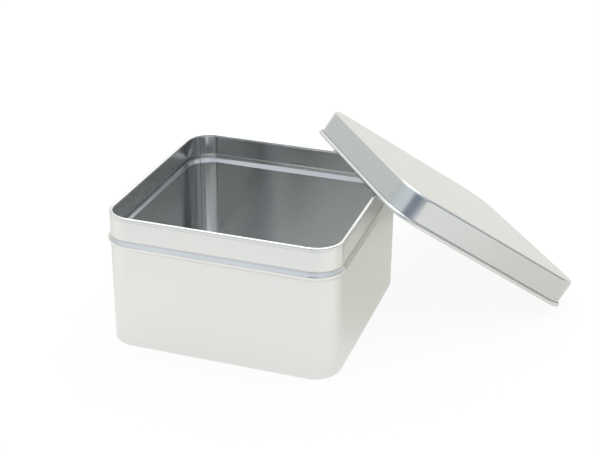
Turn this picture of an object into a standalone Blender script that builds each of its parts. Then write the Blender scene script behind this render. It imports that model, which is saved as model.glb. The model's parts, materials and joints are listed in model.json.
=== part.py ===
# Square slip-lid tin, standing open with its lid leaning against one corner.
# The origin is on the ground under the middle of the tin, with +Z up and the front at -Y.
# The lid's upper lip lies across the right and back rims, and its lower lip is on the ground.

import math

import bmesh
import bpy
from mathutils import Matrix, Vector

# Tinplate and the room between pieces that touch
SHEET = 0.0003
FIT_GAP = 0.0003

# Body: one sheet wrapped round four corners and lapped inside the back left one
BODY_WIDTH = 0.1000
BODY_HEIGHT = 0.0590
BODY_CORNER = 0.0117
RIM_ROLL = 0.0015
NECK_HEIGHT = 0.0103
BEAD_HEIGHT = 0.0044
BEAD_DEPTH = 0.0011
FOOT_BEND = 0.0005
FOOT_FLANGE = 0.0025
SEAM_WIDTH = 0.0028
SEAM_MIDDLE = math.radians(128.0)

# Base panel: a shallow pan that the body's foot is turned in under, with its middle pressed up
BASE_BEND = 0.0006
BASE_UPTURN = 0.0030
BASE_STEP = 0.0005
BASE_STEP_WIDTH = 0.0012

# Lid: a pressed panel and skirt whose edge is rolled outwards into a lip
LID_PLAY = 0.0009
LID_HEIGHT = 0.0130
LID_BEND = 0.0012
LIP_WIDTH = 0.0015
LIP_HEIGHT = 0.0019

# Where the lid leans: which way it slopes down, how far it lies to one side, and the room
# under its panel at the tin's corner
LID_HEADING = math.radians(36.4)
LID_SIDESTEP = 0.0064
CORNER_ROOM = 0.0010

# The bead's outline from its shoulder down, as shares of its depth and height
BEAD_SHARES = (
    (0.0, 0.0),
    (0.12, 0.08),
    (0.86, 0.35),
    (1.0, 0.47),
    (0.88, 0.60),
    (0.12, 0.94),
    (0.0, 1.0),
)

# How far round the rolls go, and how finely curves are cut
QUARTER_TURN = math.radians(90.0)
RIM_ROLL_END = math.radians(250.0)
LIP_ROLL_END = math.radians(105.0)
SIDES = 4
CORNER_STEPS = 8
ROLL_STEPS = 9
BEND_STEPS = 3
SEAM_STEPS = 2
MERGE_SHARE = 0.01
SMOOTH_ANGLE = math.radians(40.0)


def arc_points(centre, radius, start, end, steps):
    """Points of an arc in the (out, up) plane of a wall's cross-section."""
    points = []
    for step in range(steps + 1):
        angle = start + (end - start) * step / steps
        out = centre[0] + radius * math.cos(angle)
        up = centre[1] + radius * math.sin(angle)
        points.append((out, up))
    return points


def shifted_path(path, distance):
    """The same path moved sideways to its right hand by distance, with mitred corners."""
    points = [Vector(point) for point in path]
    shifted = []
    for index, point in enumerate(points):
        before = points[max(index - 1, 0)]
        after = points[min(index + 1, len(points) - 1)]
        arriving = (point - before) if point != before else (after - point)
        leaving = (after - point) if after != point else arriving
        first = Vector((arriving.y, -arriving.x)).normalized()
        second = Vector((leaving.y, -leaving.x)).normalized()
        mitre = (first + second).normalized()
        moved = point + mitre * distance / mitre.dot(first)
        shifted.append((moved.x, moved.y))
    return shifted


def bead_path():
    """Outer face of the bead, from its shoulder down to the wall."""
    shoulder = BODY_HEIGHT - NECK_HEIGHT
    return [(BEAD_DEPTH * depth, shoulder - BEAD_HEIGHT * drop) for depth, drop in BEAD_SHARES]


def body_path():
    """Outer face of the body: rim roll, neck, bead, wall and the foot turned in under the base."""
    roll = RIM_ROLL / 2
    bend = FOOT_BEND
    rim = arc_points((-roll, BODY_HEIGHT - roll), roll, RIM_ROLL_END, 0.0, ROLL_STEPS)
    foot = arc_points((-bend, bend), bend, 0.0, -QUARTER_TURN, BEND_STEPS)
    flange_end = (-bend - FOOT_FLANGE, 0.0)
    return rim + bead_path() + foot + [flange_end]


def base_path():
    """Outer face of the base panel: turned-up edge, the flat over the foot's flange, and the step."""
    wall = -SHEET - FIT_GAP
    bend = arc_points((wall - BASE_BEND, BASE_BEND), BASE_BEND, 0.0, -QUARTER_TURN, BEND_STEPS)
    flat_end = -FOOT_BEND - FOOT_FLANGE - FIT_GAP
    step = [(flat_end, 0.0), (flat_end - BASE_STEP_WIDTH, BASE_STEP)]
    return [(wall, BASE_UPTURN)] + bend + step


def lid_inner_half():
    return BODY_WIDTH / 2 + LID_PLAY


def lid_path():
    """Inner face of the lid: lip roll, skirt, and the bend into the panel."""
    roll = LIP_WIDTH / 2
    bend = LID_BEND - SHEET
    panel = LID_HEIGHT - SHEET
    turns = arc_points((roll, roll), roll, LIP_ROLL_END, -2 * QUARTER_TURN, ROLL_STEPS)
    lip = [(out, up * LIP_HEIGHT / LIP_WIDTH) for out, up in turns]
    top = arc_points((-bend, panel - bend), bend, 0.0, QUARTER_TURN, BEND_STEPS)
    return lip + top


def swept_parts(geometry, kind):
    return [item for item in geometry if isinstance(item, kind)]


def begin_profile(mesh, path, place):
    """Lay a path's points down as a chain of edges, through place(out, up)."""
    points = [mesh.verts.new(place(out, up)) for out, up in path]
    return [mesh.edges.new(pair) for pair in zip(points, points[1:])]


def turn_corner(mesh, edges, centre, angle, steps):
    """Spin a chain of edges about an upright line and return the chain where it ends."""
    ends = {vertex for edge in edges for vertex in edge.verts}
    spun = bmesh.ops.spin(
        mesh,
        geom=list(ends) + edges,
        cent=centre,
        axis=(0.0, 0.0, 1.0),
        angle=angle,
        steps=steps,
    )
    return swept_parts(spun["geom_last"], bmesh.types.BMEdge)


def run_straight(mesh, edges, along):
    """Extrude a chain of edges along a side and return the chain where it ends."""
    extruded = bmesh.ops.extrude_edge_only(mesh, edges=edges)["geom"]
    ends = set(swept_parts(extruded, bmesh.types.BMVert))
    bmesh.ops.translate(mesh, verts=list(ends), vec=along)
    found = swept_parts(extruded, bmesh.types.BMEdge)
    return [edge for edge in found if set(edge.verts) <= ends]


def wrapped_surface(path, half, corner, filled):
    """Carry a cross-section round a rounded square, and close its last ring if filled."""
    mesh = bmesh.new()
    centre = half - corner
    edges = begin_profile(mesh, path, lambda out, up: (half + out, -centre, up))
    for side in range(SIDES):
        turned = Matrix.Rotation(side * QUARTER_TURN, 3, "Z")
        edges = run_straight(mesh, edges, turned @ Vector((0.0, 2 * centre, 0.0)))
        pivot = turned @ Vector((centre, centre, 0.0))
        edges = turn_corner(mesh, edges, pivot, QUARTER_TURN, CORNER_STEPS)
    bmesh.ops.remove_doubles(mesh, verts=mesh.verts, dist=SHEET * MERGE_SHARE)
    if filled:
        level = path[-1][1]
        ring = [edge for edge in mesh.edges if edge.is_boundary and on_level(edge, level)]
        bmesh.ops.edgeloop_fill(mesh, edges=ring)
    bmesh.ops.recalc_face_normals(mesh, faces=mesh.faces)
    return mesh


def on_level(edge, level):
    return all(abs(vertex.co.z - level) < SHEET * MERGE_SHARE for vertex in edge.verts)


def seam_surface():
    """The lap's middle layer: a narrow stretch of the wall inside the back left corner."""
    centre = BODY_WIDTH / 2 - BODY_CORNER
    top = BODY_HEIGHT - RIM_ROLL - FIT_GAP
    bottom = base_lift() + BASE_UPTURN + FIT_GAP
    path = shifted_path([(0.0, top)] + bead_path() + [(0.0, bottom)], SHEET / 2)
    width = SEAM_WIDTH / BODY_CORNER
    start = SEAM_MIDDLE - width / 2

    def place(out, up):
        reach = BODY_CORNER + out
        return (reach * math.cos(start) - centre, reach * math.sin(start) + centre, up)

    mesh = bmesh.new()
    edges = begin_profile(mesh, path, place)
    turn_corner(mesh, edges, (-centre, centre, 0.0), width, SEAM_STEPS)
    return mesh


def base_lift():
    """Height of the base panel's outer flat, just above the foot's flange."""
    return SHEET + FIT_GAP


def tinplate(name, colour, roughness):
    material = bpy.data.materials.new(name)
    material.use_nodes = True
    shader = material.node_tree.nodes["Principled BSDF"]
    shader.inputs["Base Color"].default_value = (*colour, 1.0)
    shader.inputs["Metallic"].default_value = 1.0
    shader.inputs["Roughness"].default_value = roughness
    return material


def sheet_object(name, surface, thickness, material, collection):
    """Turn a surface into an object whose wall grows inwards from it."""
    mesh = bpy.data.meshes.new(name)
    surface.to_mesh(mesh)
    surface.free()
    mesh.shade_smooth()
    mesh.set_sharp_from_angle(angle=SMOOTH_ANGLE)
    mesh.materials.append(material)
    piece = bpy.data.objects.new(name, mesh)
    collection.objects.link(piece)
    wall = piece.modifiers.new("sheet", "SOLIDIFY")
    wall.thickness = thickness
    wall.offset = -1.0
    wall.use_even_offset = True
    return piece


def make_body(parts, cutters):
    half = BODY_WIDTH / 2
    metal = tinplate("body_tinplate", (0.72, 0.72, 0.70), 0.34)
    surface = wrapped_surface(body_path(), half, BODY_CORNER, False)
    body = sheet_object("tin_body", surface, SHEET, metal, parts)
    lap = sheet_object("seam_lap", seam_surface(), SHEET / 2 + SHEET, metal, cutters)
    lap.hide_render = True
    lap.display_type = "WIRE"
    joined = body.modifiers.new("seam", "BOOLEAN")
    joined.operation = "UNION"
    joined.solver = "EXACT"
    joined.object = lap
    return body


def make_base(parts):
    metal = tinplate("base_tinplate", (0.70, 0.70, 0.69), 0.38)
    surface = wrapped_surface(base_path(), BODY_WIDTH / 2, BODY_CORNER, True)
    base = sheet_object("base_panel", surface, SHEET, metal, parts)
    base.location = (0.0, 0.0, base_lift())
    return base


def make_lid(parts):
    metal = tinplate("lid_tinplate", (0.74, 0.74, 0.72), 0.34)
    surface = wrapped_surface(lid_path(), lid_inner_half(), BODY_CORNER, True)
    lid = sheet_object("lid", surface, SHEET, metal, parts)
    lid.parent = lid_stand(parts)
    return lid


def lip_reach():
    """Distance from the lid's middle to the centre line of its rolled lip."""
    return lid_inner_half() + LIP_WIDTH / 2


def lid_lean():
    """Slope at which the upper lip clears the rim while the lower lip is on the ground."""
    return math.asin((BODY_HEIGHT + FIT_GAP) / (2 * lip_reach()))


def lid_place():
    """Middle of the lid's open face: the panel's inside clears the tin's corner by its room.

    The lip is an oval, and below is how far its lowest point lies under its own middle.
    """
    lean = lid_lean()
    downhill = Vector((math.cos(LID_HEADING), math.sin(LID_HEADING), 0.0))
    sideways = Vector((-math.sin(LID_HEADING), math.cos(LID_HEADING), 0.0))
    facing = downhill * math.sin(lean) + Vector((0.0, 0.0, math.cos(lean)))
    rim = RIM_ROLL / 2
    upright = math.cos(lean) * LIP_HEIGHT / 2
    below = math.hypot(math.sin(lean) * LIP_WIDTH / 2, upright)
    centre = BODY_WIDTH / 2 - BODY_CORNER
    corner = Vector((centre, centre, BODY_HEIGHT - rim))
    corner += downhill * (BODY_CORNER - rim) + facing * rim
    height = lip_reach() * math.sin(lean) - upright + below
    inside = LID_HEIGHT - SHEET - CORNER_ROOM
    along = (facing.dot(corner) - inside - height * math.cos(lean)) / math.sin(lean)
    return downhill * along + sideways * LID_SIDESTEP + Vector((0.0, 0.0, height))


def lid_stand(parts):
    """Empty that carries the lid: it stands where the lid lies, and the lid lifts off along +Z."""
    stand = bpy.data.objects.new("lid_lift", None)
    stand.location = lid_place()
    stand.rotation_euler = (lid_lean(), 0.0, LID_HEADING + QUARTER_TURN)
    parts.objects.link(stand)
    return stand


def new_collection(name):
    collection = bpy.data.collections.new(name)
    bpy.context.scene.collection.children.link(collection)
    return collection


def main():
    for item in list(bpy.data.objects):
        bpy.data.objects.remove(item, do_unlink=True)
    parts = new_collection("square_tin")
    cutters = new_collection("cutters")
    make_body(parts, cutters)
    make_base(parts)
    make_lid(parts)


main()
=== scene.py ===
import json
import math

import bpy
from mathutils import Matrix, Vector


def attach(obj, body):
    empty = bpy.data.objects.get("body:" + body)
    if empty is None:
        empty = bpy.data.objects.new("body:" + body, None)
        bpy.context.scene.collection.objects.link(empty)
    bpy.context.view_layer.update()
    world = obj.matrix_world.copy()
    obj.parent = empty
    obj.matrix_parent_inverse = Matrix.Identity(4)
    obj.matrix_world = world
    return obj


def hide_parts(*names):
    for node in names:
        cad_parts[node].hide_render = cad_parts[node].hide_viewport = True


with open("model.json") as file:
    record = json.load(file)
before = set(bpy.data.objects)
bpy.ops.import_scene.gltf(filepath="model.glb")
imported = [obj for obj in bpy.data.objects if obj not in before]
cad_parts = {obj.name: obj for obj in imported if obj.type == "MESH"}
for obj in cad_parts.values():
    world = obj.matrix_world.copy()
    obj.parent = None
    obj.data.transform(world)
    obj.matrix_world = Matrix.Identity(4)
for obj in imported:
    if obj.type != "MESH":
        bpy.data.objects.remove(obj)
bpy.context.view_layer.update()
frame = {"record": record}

# Tinplate, and the room left where one piece goes round another
SHEET = 0.0003
PLAY = 0.0003

# Body: rolled rim, plain neck, pressed bead, wall, and the foot turned in under the base
WIDTH = 0.1000
HEIGHT = 0.0590
CORNER = 0.0117
RIM_ROLL = 0.0015
NECK = 0.0103
BEAD_HEIGHT = 0.0044
BEAD_DEPTH = 0.0011
FOOT_BEND = 0.0005
FOOT_FLANGE = 0.0025
SHOULDER = HEIGHT - NECK
BEAD_FOOT = SHOULDER - BEAD_HEIGHT

# Base: a shallow pan inside the foot, its middle pressed up
BASE_LIFT = SHEET + PLAY
BASE_BEND = 0.0006
BASE_UPTURN = 0.0030
BASE_STEP = 0.0005
BASE_STEP_WIDTH = 0.0012

# Lid: panel, skirt, and a lip rolled outwards
LID_PLAY = 0.0009
LID_HEIGHT = 0.0130
LID_BEND = 0.0012
LIP_WIDTH = 0.0015
LIP_HEIGHT = 0.0019

# How far round the rolls go
RIGHT_ANGLE = math.radians(90.0)
RIM_ROLL_END = math.radians(250.0)
LIP_ROLL_END = math.radians(105.0)

# How finely curves are cut, how far from a bend a row of points keeps flat faces flat, and how
# near points lie that are at one end, in one row, or the same
CORNER_CUTS = 28
ROLL_CUTS = 20
BEND_CUTS = 7
HOLD = 0.0003
SMOOTH_ANGLE = math.radians(40.0)
END_SLACK = math.radians(0.5)
ROW_SLACK = math.radians(0.1)
MERGE = 0.00001

# Lap seam in the corner after this side, counted from the right one. By angle round the corner
# from the back wall: both sides of the outer sheet's free edge and of the inner sheet's.
SEAM_SIDE = 1
OUTER_EDGE = (math.radians(37.4), math.radians(38.0))
INNER_EDGE = (math.radians(45.0), math.radians(45.6))

# How high the lap's step reaches, from above the base's upturn to behind the rolled rim, how
# deep the wall is taken there, how much thicker the rim is over it, and how wide the band of
# painted shade, less glossy too, in the crease along the inner edge is
LAP_FOOT = BASE_LIFT + BASE_UPTURN + 2 * PLAY
LAP_TOP = HEIGHT - RIM_ROLL / 2 - 2 * HOLD
WALL_DEPTH = 1.5 * SHEET
RIM_SWELL = 0.0002
CREASE = 0.0004

# Bead outline from its shoulder down, as shares of its depth and height, and the share of its
# height down to where it is rubbed
BEAD_SHARES = (
    (0.03, 0.025),
    (0.10, 0.065),
    (0.25, 0.12),
    (0.45, 0.19),
    (0.65, 0.26),
    (0.84, 0.335),
    (0.94, 0.385),
    (0.99, 0.43),
    (1.0, 0.47),
    (0.98, 0.52),
    (0.91, 0.58),
    (0.78, 0.66),
    (0.60, 0.745),
    (0.40, 0.83),
    (0.20, 0.91),
    (0.06, 0.97),
    (0.0, 1.0),
)
RUBBED_SHARE = 0.4

# Camera of the photograph: place in metres, heading, downward pitch, roll, and lens in mm
CAMERA_PLACE = (0.1703, -0.4597, 0.2737)
CAMERA_HEADING = math.radians(18.237)
CAMERA_PITCH = math.radians(25.460)
CAMERA_ROLL = math.radians(0.734)
LENS = 75.31
SENSOR = 36.0
CLIP_START = 0.01

# Studio light by side at the first three of these heights in degrees, and the softbox overhead
LIGHT_HEIGHTS = (0.0, 25.0, 50.0, 80.0)
BACK_LIGHT = ((0.94, 0.92, 0.90), (1.08, 1.09, 1.04), (1.95, 1.95, 1.90))
FRONT_LIGHT = ((0.66, 0.70, 0.75), (0.84, 0.89, 0.95), (0.55, 0.60, 0.66))
LEFT_LIGHT = ((0.66, 0.68, 0.66), (0.66, 0.71, 0.72), (1.10, 1.12, 1.15))
RIGHT_LIGHT = ((0.18, 0.19, 0.19), (0.66, 0.70, 0.74), (0.62, 0.70, 0.80))
SOFTBOX = (2.4, 2.4, 2.35)
TINY = 0.000001

# The dark side of the studio, towards the camera: which way it lies, its tone, and the angles
# from its middle at which it starts to fade and is gone
DARK_SIDE = (0.138, -0.985, 0.104)
DARK_TONE = (0.25, 0.29, 0.36)
DARK_INNER = math.radians(12.0)
DARK_OUTER = math.radians(29.0)

# Floor: its own white, how much of it glows to the camera and in reflections, the tones that
# reflections see far in front of the tin (painted shade), in front of it, and behind it (painted
# shade of the leaning lid), and where they change
FLOOR_SIZE = 6.0
FLOOR_WHITE = (0.90, 0.90, 0.89)
CAMERA_GLOW = 0.92
MIRROR_GLOW = 0.78
WHITE = (1.0, 1.0, 1.0)
FAR_PAINTED_SHADE = (0.25, 0.29, 0.35)
FRONT_TONE = (1.02, 1.02, 0.99)
BACK_PAINTED_SHADE = (0.85, 0.84, 0.78)
FAR_RANGE = (-0.38, -0.14)
BACK_RANGE = (-0.06, 0.01)

# Tinplate's colour outside, a darker copy inside as painted shade of the hollows, its roughness,
# and how much the rolled body draws reflections out, upright
TIN_OUTSIDE = (0.79, 0.79, 0.78)
TIN_INSIDE_SHADED = (0.67, 0.68, 0.68)
ROUGHNESS = 0.22
INSIDE_ROUGHNESS = 0.20
LID_ROUGHNESS = 0.28
ROLLED = 0.8
PRESSED = 0.0
UPRIGHT = 0.25

# Rolling grain by axis, and the scale of stipple and clouding; then each one's detail and
# roughness as noise, and its depth in metres
BODY_GRAIN = (60.0, 60.0, 2500.0)
BASE_GRAIN = (60.0, 2500.0, 60.0)
LID_GRAIN = (60.0, 2500.0, 1200.0)
STIPPLE_SCALE = 1500.0
CLOUD_SCALE = 45.0
GRAIN_NOISE = (3.0, 0.6)
STIPPLE_NOISE = (2.0, 0.5)
CLOUD_NOISE = (3.0, 0.55)
GRAIN_DEPTH = 0.000002
STIPPLE_DEPTH = 0.000002
CLOUD_DEPTH = 0.00002

# Wear and painted shade in each piece's own height, as (middle, reach): rubbed edges, and creases
# painted darker as shade and less glossy
BODY_RUBBED = (
    (HEIGHT, 0.0012),
    (SHOULDER - BEAD_HEIGHT * RUBBED_SHARE, 0.0014),
    (0.0, 0.0018),
)
BODY_SHADE_AND_DULL = ((SHOULDER, 0.0007), (HEIGHT - RIM_ROLL, 0.0004))
BASE_SHADE_AND_DULL = ((BASE_LIFT + BASE_STEP, 0.0005),)
LID_RUBBED = ((LID_HEIGHT, 0.0012), (0.0, 0.0014))
LID_SHADE_AND_DULL = ((LIP_HEIGHT, 0.0006),)

# How broken up the rubbing is, how strong the seam crease's painted shade and lost gloss are,
# and what clouding, grain, stipple, rubbing and the creases' painted shade and lost gloss each add
# to the tone and to the roughness
RUB_STIPPLE = 0.5
RUB_RANGE = (-0.35, 0.25)
SEAM_SHADE_AND_DULLNESS = 2.0
TONE_WEIGHTS = (0.05, 0.05, 0.03, 0.03, -0.12)
GLOSS_WEIGHTS = (0.08, 0.08, 0.05, -0.06, 0.08)


class Wire:
    """A shader socket that takes part in sums as a number does."""

    def __init__(self, tree, socket):
        self.tree = tree
        self.socket = socket

    def __add__(self, other):
        return self.tree.sum("ADD", self, other)

    def __sub__(self, other):
        return self.tree.sum("SUBTRACT", self, other)

    def __rsub__(self, other):
        return self.tree.sum("SUBTRACT", other, self)

    def __mul__(self, other):
        return self.tree.sum("MULTIPLY", self, other)

    def __truediv__(self, other):
        return self.tree.sum("DIVIDE", self, other)

    __radd__ = __add__
    __rmul__ = __mul__


class Tree:
    """The node tree of one finish, or of the world."""

    def __init__(self, owner):
        owner.use_nodes = True
        self.nodes = owner.node_tree.nodes
        self.links = owner.node_tree.links
        self.nodes.clear()

    def node(self, kind, settings, sockets, output):
        """Add a node, set it up, fill its sockets and hand back the output with this name."""
        node = self.nodes.new("ShaderNode" + kind)
        for name, value in settings.items():
            setattr(node, name, value)
        for name, value in sockets.items():
            socket = in_use(node.inputs, name)
            if isinstance(value, Wire):
                self.links.new(value.socket, socket)
            else:
                socket.default_value = value
        if output is None:
            return None
        return Wire(self, in_use(node.outputs, output))

    def sum(self, operation, first, second):
        return self.node("Math", {"operation": operation}, {0: first, 1: second}, "Value")

    def split(self, vector):
        """The three numbers of a vector."""
        node = self.nodes.new("ShaderNodeSeparateXYZ")
        self.links.new(vector.socket, node.inputs[0])
        return [Wire(self, socket) for socket in node.outputs]

    def ramp(self, value, low, high, kind="SMOOTHSTEP"):
        """How far a value has come from low to high, from 0 to 1."""
        return self.node(
            "MapRange",
            {"interpolation_type": kind},
            {"Value": value, "From Min": low, "From Max": high},
            "Result",
        )

    def mix(self, share, first, second):
        """A colour between two colours."""
        return self.node(
            "Mix", {"data_type": "RGBA"}, {"Factor": share, "A": first, "B": second}, "Result"
        )

    def noise(self, place, scale, detail, roughness):
        """Cloudy noise round a middle of nought."""
        cloud = self.node(
            "TexNoise",
            {},
            {"Vector": place, "Scale": scale, "Detail": detail, "Roughness": roughness},
            "Fac",
        )
        return cloud - 0.5


def in_use(sockets, name):
    """The socket with this name or number; a Mix node also keeps unused ones of the same name."""
    if isinstance(name, int):
        return sockets[name]
    return next(socket for socket in sockets if socket.enabled and socket.name == name)


def opaque(colour):
    return (*colour, 1.0)


def start_piece(name, radius, place):
    """A circle standing in the section plane, its place kept in the mesh."""
    bpy.ops.object.select_all(action="DESELECT")
    bpy.ops.mesh.primitive_circle_add(
        vertices=4 * ROLL_CUTS, radius=radius, location=place, rotation=(RIGHT_ANGLE, 0.0, 0.0)
    )
    piece = bpy.context.object
    piece.name = name
    piece.data.name = name
    bpy.ops.object.transform_apply(location=True, rotation=True, scale=True)
    return piece


def pick_points(piece, wanted):
    """Select the vertices for which wanted(place, facing) is true, and open for editing."""
    bpy.ops.object.mode_set(mode="EDIT")
    bpy.ops.mesh.select_mode(type="VERT")
    bpy.ops.mesh.select_all(action="DESELECT")
    bpy.ops.object.mode_set(mode="OBJECT")
    for vertex in piece.data.vertices:
        vertex.select = wanted(vertex.co, vertex.normal)
    bpy.ops.object.mode_set(mode="EDIT")


class Section:
    """The sheet's cross-section at the front end of the right side, drawn from its roll down."""

    def __init__(self, name, half, corner, roll_centre, roll):
        self.middle = half - corner
        self.centre = Vector((roll_centre[0], -self.middle, roll_centre[1]))
        self.piece = start_piece(name, roll, self.centre)

    def keep_arc(self, low, high, end, tall=1.0):
        """Cut the circle open to the arc from low to high, make it this many times as tall as
        it is wide, and take hold of its end."""

        def turn(place):
            return math.atan2(place.z - self.centre.z, place.x - self.centre.x)

        def beyond(place, facing):
            past = (turn(place) - low + END_SLACK) % (4 * RIGHT_ANGLE)
            return past > high - low + 2 * END_SLACK

        def at_end(place, facing):
            return abs(math.remainder(turn(place) - end, 4 * RIGHT_ANGLE)) < END_SLACK

        pick_points(self.piece, beyond)
        bpy.ops.mesh.delete(type="VERT")
        bpy.ops.mesh.select_all(action="SELECT")
        bpy.ops.transform.resize(value=(1.0, 1.0, tall), center_override=self.centre)
        pick_points(self.piece, at_end)

    def line(self, *steps):
        """Extrude the end by each step (out, up)."""
        for out, up in steps:
            bpy.ops.mesh.extrude_vertices_move(TRANSFORM_OT_translate={"value": (out, 0.0, up)})

    def arc(self, centre, angle, cuts):
        """Spin the end about a centre (out, up) of the section; a positive angle turns upwards."""
        bpy.ops.mesh.spin(
            steps=cuts,
            angle=angle,
            center=(centre[0], -self.middle, centre[1]),
            axis=(0.0, 1.0, 0.0),
        )

    def wrap(self, seam=()):
        """Carry the section along each side and round each corner, and close the ring.

        seam lists angles at which the back left corner has to have a row of points.
        """
        bpy.ops.mesh.select_all(action="SELECT")
        for side in range(4):
            turned = Matrix.Rotation(side * RIGHT_ANGLE, 3, "Z")
            for run in (HOLD, 2 * self.middle - 2 * HOLD, HOLD):
                along = turned @ Vector((0.0, run, 0.0))
                bpy.ops.mesh.extrude_edges_move(TRANSFORM_OT_translate={"value": along})
            pivot = turned @ Vector((self.middle, self.middle, 0.0))
            stops = [0.0] + (list(seam) if side == SEAM_SIDE else []) + [RIGHT_ANGLE]
            for start, stop in zip(stops, stops[1:]):
                bpy.ops.mesh.spin(
                    steps=len(rows(start, stop)),
                    angle=start - stop,
                    center=pivot,
                    axis=(0.0, 0.0, 1.0),
                )
        bpy.ops.mesh.select_all(action="SELECT")
        bpy.ops.mesh.remove_doubles(threshold=MERGE)
        bpy.ops.mesh.normals_make_consistent(inside=False)


def make_body(finishes):
    half = WIDTH / 2
    roll = RIM_ROLL / 2
    section = Section("body_sheet", half, CORNER, (half - roll, HEIGHT - roll), roll)
    section.keep_arc(0.0, RIM_ROLL_END, 0.0)
    section.line(*drops(HEIGHT - roll, HEIGHT - roll - HOLD, LAP_TOP, SHOULDER + HOLD, SHOULDER))
    points = [(0.0, 0.0)] + [(BEAD_DEPTH * d, -BEAD_HEIGHT * h) for d, h in BEAD_SHARES]
    section.line(*[(b[0] - a[0], b[1] - a[1]) for a, b in zip(points, points[1:])])
    section.line(*drops(BEAD_FOOT, BEAD_FOOT - HOLD, LAP_FOOT, LAP_FOOT - HOLD))
    section.line(*drops(LAP_FOOT - HOLD, FOOT_BEND + HOLD, FOOT_BEND))
    section.arc((half - FOOT_BEND, FOOT_BEND), -RIGHT_ANGLE, BEND_CUTS)
    section.line((-FOOT_FLANGE, 0.0))
    section.wrap((*OUTER_EDGE, *INNER_EDGE))
    body = thicken(section.piece, finishes)
    step_lap(body)
    return smooth(body)


def drops(*levels):
    """Steps straight down from the first of these heights through the others."""
    return [(0.0, low - high) for high, low in zip(levels, levels[1:])]


def rows(start, stop):
    """Angles of the rows of points round a corner, past start and up to stop."""
    cuts = max(1, round(CORNER_CUTS * (stop - start) / RIGHT_ANGLE))
    return [start + (stop - start) * step / cuts for step in range(1, cuts + 1)]


def round_corner(place):
    """A place's angle round the back left corner, and its reach from the corner's middle."""
    left = -place.x - WIDTH / 2 + CORNER
    back = place.y - WIDTH / 2 + CORNER
    return math.atan2(left, back), math.hypot(left, back)


def step_lap(body):
    """Step the sheet in where its two ends overlap, and swell the rolled rim over the lap."""
    eased = rows(0.0, OUTER_EDGE[0])
    lapped = rows(*OUTER_EDGE) + rows(OUTER_EDGE[1], INNER_EDGE[0])
    for angle in eased + lapped:
        outwards = Vector((-math.sin(angle), math.cos(angle), 0.0))
        share = min(1.0, angle / OUTER_EDGE[0])

        def in_wall(place, facing):
            turn, reach = round_corner(place)
            here = abs(turn - angle) < ROW_SLACK and reach > CORNER - WALL_DEPTH
            stepped = angle in eased or facing.dot(outwards) < 0.0
            return here and stepped and LAP_FOOT - MERGE < place.z < LAP_TOP + MERGE

        pick_points(body, in_wall)
        bpy.ops.transform.translate(value=-outwards * SHEET * share)
        if angle in eased:
            swell_rim(body, angle, outwards, share * share)
    bpy.ops.object.mode_set(mode="OBJECT")


def swell_rim(body, angle, outwards, share):
    """Enlarge one row of the rolled rim about the roll's own middle."""
    roll = RIM_ROLL / 2

    def in_roll(place, facing):
        turn, reach = round_corner(place)
        out = reach - CORNER + roll
        up = place.z - HEIGHT + roll
        past = (math.atan2(up, out) + ROW_SLACK) % (4 * RIGHT_ANGLE)
        here = abs(turn - angle) < ROW_SLACK and math.hypot(out, up) < roll + MERGE
        return here and past < RIM_ROLL_END + 2 * ROW_SLACK

    pick_points(body, in_roll)
    middle = WIDTH / 2 - CORNER
    centre = Vector((-middle, middle, HEIGHT - roll)) + outwards * (CORNER - roll)
    swell = 1.0 + RIM_SWELL * share / roll
    bpy.ops.transform.resize(value=(swell, swell, swell), center_override=centre)


def make_base(finishes):
    half = WIDTH / 2 - SHEET - PLAY
    bend = BASE_BEND
    section = Section(
        "base_sheet", half, CORNER - SHEET - PLAY, (half - bend, BASE_LIFT + bend), bend
    )
    section.keep_arc(-RIGHT_ANGLE, 0.0, 0.0)
    section.line((0.0, HOLD), (0.0, BASE_UPTURN - bend - HOLD))
    pick_points(section.piece, lambda place, facing: place.z < BASE_LIFT + MERGE)
    flat = half - bend - (WIDTH / 2 - FOOT_BEND - FOOT_FLANGE - PLAY)
    section.line((-HOLD, 0.0), (HOLD - flat, 0.0), (-BASE_STEP_WIDTH, BASE_STEP))
    section.wrap()
    close_panel(section.piece, BASE_LIFT + BASE_STEP)
    return smooth(thicken(section.piece, finishes))


def make_lid(finishes):
    half = WIDTH / 2 + LID_PLAY
    roll = LIP_WIDTH / 2
    tall = LIP_HEIGHT / 2
    bend = LID_BEND - SHEET
    panel = LID_HEIGHT - SHEET
    section = Section("lid_sheet", half, CORNER, (half + roll, tall), roll)
    section.keep_arc(-2 * RIGHT_ANGLE, LIP_ROLL_END, 2 * RIGHT_ANGLE, tall / roll)
    section.line((0.0, HOLD), (0.0, panel - bend - tall - 2 * HOLD), (0.0, HOLD))
    section.arc((half - bend, panel - bend), RIGHT_ANGLE, BEND_CUTS)
    section.wrap()
    close_panel(section.piece, panel)
    lid = smooth(thicken(section.piece, finishes))
    lid.matrix_world = lid_place()
    bpy.ops.object.transform_apply(location=True, rotation=True, scale=True)
    return lid


def close_panel(piece, level):
    """Fill the ring of edges at a level, with a narrow border that keeps the flat shading flat."""
    pick_points(piece, lambda place, facing: abs(place.z - level) < MERGE)
    bpy.ops.mesh.edge_face_add()
    bpy.ops.mesh.inset(thickness=HOLD, depth=0.0)
    bpy.ops.mesh.select_all(action="SELECT")
    bpy.ops.mesh.normals_make_consistent(inside=False)


def thicken(piece, finishes):
    """Give the surface the sheet's thickness inwards, and its finishes outside and inside."""
    bpy.ops.object.mode_set(mode="OBJECT")
    for finish in finishes:
        piece.data.materials.append(finish)
    wall = piece.modifiers.new("sheet", "SOLIDIFY")
    wall.thickness = SHEET
    wall.offset = -1.0
    wall.use_even_offset = True
    wall.material_offset = 1
    wall.material_offset_rim = 1
    bpy.ops.object.modifier_apply(modifier=wall.name)
    return piece


def smooth(piece):
    bpy.ops.object.shade_smooth_by_angle(angle=SMOOTH_ANGLE)
    return piece


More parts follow.
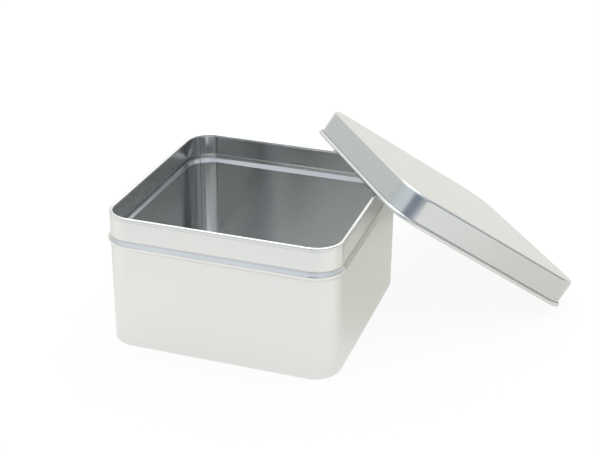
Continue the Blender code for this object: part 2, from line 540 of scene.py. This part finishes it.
def lid_place():
    """Where the lid leans, from what the solid says of its top face."""
    top = next(mount for mount in frame["record"]["mounts"] if mount["name"] == "lid_top")
    facing = Vector(top["axis"])
    heading = math.atan2(facing.y, facing.x)
    lean = math.acos(facing.z)
    turn = Matrix.Rotation(heading + RIGHT_ANGLE, 4, "Z") @ Matrix.Rotation(lean, 4, "X")
    return Matrix.Translation(Vector(top["pos_m"]) - facing * LID_HEIGHT) @ turn


def band(tree, level, middle, reach):
    """1 on a level, easing to 0 at a reach above and below it."""
    away = tree.sum("ABSOLUTE", level - middle, 0.0)
    return 1.0 - tree.ramp(away, 0.0, reach)


# Mask for the painted shade, with lost gloss, along the lap seam's crease
def crease(tree, spot):
    """1 along the free edge of the lap seam inside the back left corner, easing to 0 beside it."""
    x, y = tree.split(spot)[:2]
    on_left = tree.sum("LESS_THAN", x, 0.0)
    return band(tree, x + y, 0.0, CREASE) * on_left


def weigh(parts, weights):
    return sum(part * weight for part, weight in zip(parts, weights))


def tinplate(name, colour, roughness, rolled, place, grain_scale, rubbed, shade_and_dull, seam=None):
    """Satin tinplate with rolling grain and clouding, polished where rubbed, and in creases
    painted darker as shade and less glossy.

    place turns a tree's coordinates into the piece's own; rubbed, and the list of creases with
    painted shade, give (middle, reach) heights in metres; seam is 1 along a seam's crease, painted
    shade too.
    """
    material = bpy.data.materials.new(name)
    tree = Tree(material)
    spot = place(tree)
    height = tree.split(spot)[2]
    drawn = tree.node("VectorMath", {"operation": "MULTIPLY"}, {0: spot, 1: grain_scale}, "Vector")
    grain = tree.noise(drawn, 1.0, *GRAIN_NOISE)
    stipple = tree.noise(spot, STIPPLE_SCALE, *STIPPLE_NOISE)
    cloud = tree.noise(spot, CLOUD_SCALE, *CLOUD_NOISE)
    polish = sum(band(tree, height, middle, reach) for middle, reach in rubbed)
    polish = polish * tree.ramp(cloud + stipple * RUB_STIPPLE, *RUB_RANGE)
    # Painted shade: creases darker in tone, and less glossy
    shade = sum(band(tree, height, middle, reach) for middle, reach in shade_and_dull)
    # The lap seam's crease gets painted shade as well
    if seam:
        shade = shade + seam(tree, spot) * SEAM_SHADE_AND_DULLNESS
    parts = (cloud, grain, stipple, polish, shade)
    tone = 1.0 + weigh(parts, TONE_WEIGHTS)
    gloss = roughness + weigh(parts, GLOSS_WEIGHTS)
    tint = tree.node(
        "VectorMath", {"operation": "SCALE"}, {"Vector": colour, "Scale": tone}, "Vector"
    )
    relief = weigh((grain, stipple, cloud), (GRAIN_DEPTH, STIPPLE_DEPTH, CLOUD_DEPTH))
    bump = tree.node("Bump", {}, {"Strength": 1.0, "Distance": 1.0, "Height": relief}, "Normal")
    surface = tree.node(
        "BsdfPrincipled",
        {},
        {
            "Base Color": tint,
            "Metallic": 1.0,
            "Roughness": gloss,
            "Anisotropic": rolled,
            "Anisotropic Rotation": UPRIGHT,
            "Normal": bump,
        },
        "BSDF",
    )
    tree.node("OutputMaterial", {}, {"Surface": surface}, None)
    return material


def as_built(tree):
    return tree.node("TexCoord", {}, {}, "Object")


def as_lid(tree):
    """The lid's own coordinates, level and with its open edge at nought."""
    place = lid_place()
    return tree.node(
        "Mapping",
        {"vector_type": "TEXTURE"},
        {
            "Vector": as_built(tree),
            "Location": place.to_translation(),
            "Rotation": place.to_euler(),
        },
        "Vector",
    )


def dress(piece, body, node):
    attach(piece, body)
    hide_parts(node)


def make_floor():
    """A pale floor that keeps the shadow and glows white to the camera; in reflections its glow is
    white in front of the tin, with painted shade far in front and behind it.
    """
    bpy.ops.mesh.primitive_plane_add(size=FLOOR_SIZE)
    floor = bpy.context.object
    floor.name = "floor"
    material = bpy.data.materials.new("white_floor")
    tree = Tree(material)
    from_front = tree.split(as_built(tree))[1]
    camera_ray = tree.node("LightPath", {}, {}, "Is Camera Ray")
    mirror_ray = tree.node("LightPath", {}, {}, "Is Glossy Ray")
    glass_ray = tree.node("LightPath", {}, {}, "Is Transmission Ray")
    # Painted shade in the glow that reflections see: dark far in front of the tin, darker and
    # warmer behind it, where the lid leans
    tone = tree.mix(tree.ramp(from_front, *FAR_RANGE), opaque(FAR_PAINTED_SHADE), opaque(FRONT_TONE))
    tone = tree.mix(tree.ramp(from_front, *BACK_RANGE), tone, opaque(BACK_PAINTED_SHADE))
    tone = tree.mix(camera_ray, tone, opaque(WHITE))
    share = camera_ray * CAMERA_GLOW + (mirror_ray + glass_ray) * MIRROR_GLOW
    plain = tree.node("BsdfDiffuse", {}, {"Color": opaque(FLOOR_WHITE)}, "BSDF")
    glow = tree.node("Emission", {}, {"Color": tone}, "Emission")
    surface = tree.node("MixShader", {}, {0: share, 1: plain, 2: glow}, "Shader")
    tree.node("OutputMaterial", {}, {"Surface": surface}, None)
    floor.data.materials.append(material)


def make_light():
    """Soft studio light from the sides and overhead; the camera itself sees white."""
    world = bpy.data.worlds.new("studio")
    bpy.context.scene.world = world
    tree = Tree(world)
    direction = tree.node("TexCoord", {}, {}, "Generated")
    x, y, z = tree.split(direction)
    height = tree.sum("ARCSINE", z, 0.0) * math.degrees(1.0)
    sideways = x * x / (x * x + y * y + TINY)
    behind = tree.sum("GREATER_THAN", y, 0.0)
    rightward = tree.sum("GREATER_THAN", x, 0.0)
    levels = []
    for front, back, left, right in zip(FRONT_LIGHT, BACK_LIGHT, LEFT_LIGHT, RIGHT_LIGHT):
        along = tree.mix(behind, opaque(front), opaque(back))
        across = tree.mix(rightward, opaque(left), opaque(right))
        levels.append(tree.mix(sideways, along, across))
    levels.append(opaque(SOFTBOX))
    light = levels[0]
    for above, low, high in zip(levels[1:], LIGHT_HEIGHTS, LIGHT_HEIGHTS[1:]):
        light = tree.mix(tree.ramp(height, low, high, "LINEAR"), light, above)
    camera_ray = tree.node("LightPath", {}, {}, "Is Camera Ray")
    towards = tree.node(
        "VectorMath", {"operation": "DOT_PRODUCT"}, {0: direction, 1: DARK_SIDE}, "Value"
    )
    dark = tree.ramp(towards, math.cos(DARK_OUTER), math.cos(DARK_INNER))
    light = tree.mix(dark, light, opaque(DARK_TONE))
    light = tree.mix(camera_ray, light, opaque(WHITE))
    sky = tree.node("Background", {}, {"Color": light}, "Background")
    tree.node("OutputWorld", {}, {"Surface": sky}, None)


def make_camera():
    data = bpy.data.cameras.new("camera")
    data.lens = LENS
    data.sensor_width = SENSOR
    data.clip_start = CLIP_START
    camera = bpy.data.objects.new("camera", data)
    bpy.context.scene.collection.objects.link(camera)
    turn = Matrix.Rotation(CAMERA_HEADING, 4, "Z")
    turn @= Matrix.Rotation(RIGHT_ANGLE - CAMERA_PITCH, 4, "X")
    turn @= Matrix.Rotation(CAMERA_ROLL, 4, "Z")
    camera.matrix_world = Matrix.Translation(CAMERA_PLACE) @ turn
    bpy.context.scene.camera = camera


make_camera()
make_light()
make_floor()

# Finishes
body_wear = (as_built, BODY_GRAIN, BODY_RUBBED, BODY_SHADE_AND_DULL)
lid_wear = (as_lid, LID_GRAIN, LID_RUBBED, LID_SHADE_AND_DULL)
outside = tinplate("satin_outside", TIN_OUTSIDE, ROUGHNESS, ROLLED, *body_wear)
# Inside finishes, base and lid inside take the darker copy of the tinplate colour: painted shade
inside = tinplate("satin_inside_shaded", TIN_INSIDE_SHADED, INSIDE_ROUGHNESS, ROLLED, *body_wear, crease)
base_face = tinplate(
    "satin_base_shaded", TIN_INSIDE_SHADED, ROUGHNESS, PRESSED, as_built, BASE_GRAIN, (), BASE_SHADE_AND_DULL
)
lid_face = tinplate("satin_lid", TIN_OUTSIDE, LID_ROUGHNESS, PRESSED, *lid_wear)
lid_inside = tinplate("satin_lid_inside_shaded", TIN_INSIDE_SHADED, ROUGHNESS, PRESSED, *lid_wear)

# Pieces
body = make_body((outside, inside))
base = make_base((base_face, base_face))
lid = make_lid((lid_face, lid_inside))
dress(body, "tin", "tin_body")
dress(base, "tin", "base_panel")
dress(lid, "lid", "lid")
bpy.context.scene.view_settings.view_transform = "Standard"
